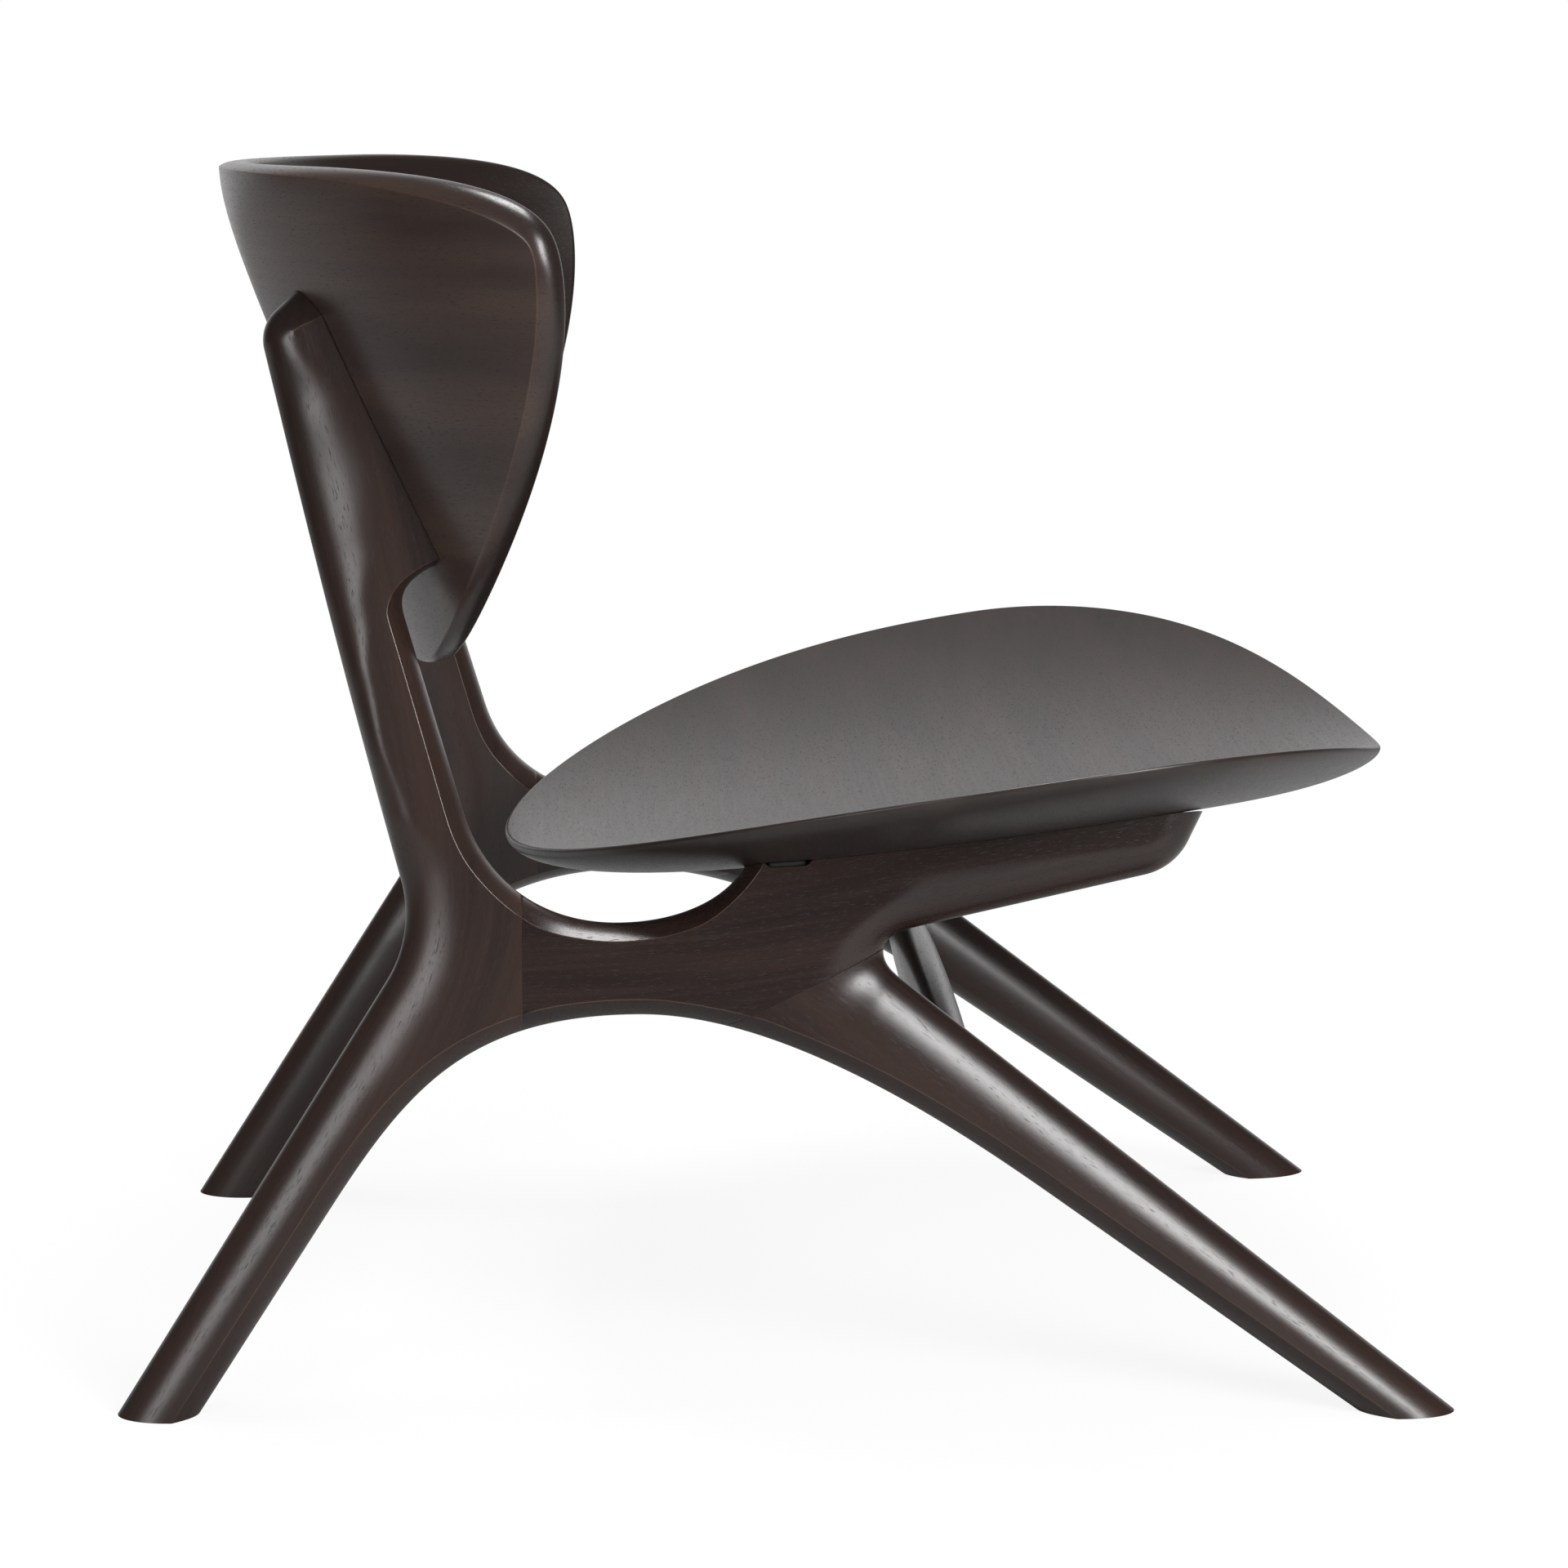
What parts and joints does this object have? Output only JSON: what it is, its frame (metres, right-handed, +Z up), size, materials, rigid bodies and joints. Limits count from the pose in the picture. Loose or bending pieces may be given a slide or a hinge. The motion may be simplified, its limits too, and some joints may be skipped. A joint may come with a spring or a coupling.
{
  "type": "lounge chair",
  "caption": "Low lounge chair with splayed, sculpted side frames, a dished oval seat shell and a curved shield-shaped back shell in dark-stained hardwood.",
  "frame": {"origin": "on the floor, under the middle of the chair's box", "axes": "the chair faces -Y, +X runs across it to the sitter's left, +Z is up"},
  "size_m": [0.682, 0.7372, 0.679],
  "materials": {
    "stained_wood": "dark stain under a satin oil or varnish",
    "packing_rubber": "matt black",
    "dowel_wood": "plain pale hardwood",
    "screw_steel": "bright zinc"
  },
  "bodies": {
    "root": {"right_rear_upright": "stained_wood", "right_side_beam": "stained_wood", "right_front_leg": "stained_wood", "left_rear_upright": "stained_wood", "left_side_beam": "stained_wood", "left_front_leg": "stained_wood", "seat_shell": "stained_wood", "back_shell": "stained_wood", "front_stretcher": "stained_wood", "right_rear_seat_pad": "packing_rubber", "right_front_seat_pad": "packing_rubber", "left_rear_seat_pad": "packing_rubber", "left_front_seat_pad": "packing_rubber", "right_seat_dowel": "dowel_wood", "left_seat_dowel": "dowel_wood", "right_seat_screw": "screw_steel", "left_seat_screw": "screw_steel", "right_back_dowel_low": "dowel_wood", "right_back_dowel_high": "dowel_wood", "left_back_dowel_low": "dowel_wood", "left_back_dowel_high": "dowel_wood", "right_stretcher_dowel_a": "dowel_wood", "right_stretcher_dowel_b": "dowel_wood", "left_stretcher_dowel_a": "dowel_wood", "left_stretcher_dowel_b": "dowel_wood", "right_rear_joint_dowel_a": "dowel_wood", "right_rear_joint_dowel_b": "dowel_wood", "left_rear_joint_dowel_a": "dowel_wood", "left_rear_joint_dowel_b": "dowel_wood", "right_front_joint_dowel_a": "dowel_wood", "right_front_joint_dowel_b": "dowel_wood", "left_front_joint_dowel_a": "dowel_wood", "left_front_joint_dowel_b": "dowel_wood"}
  },
  "joints": []
}
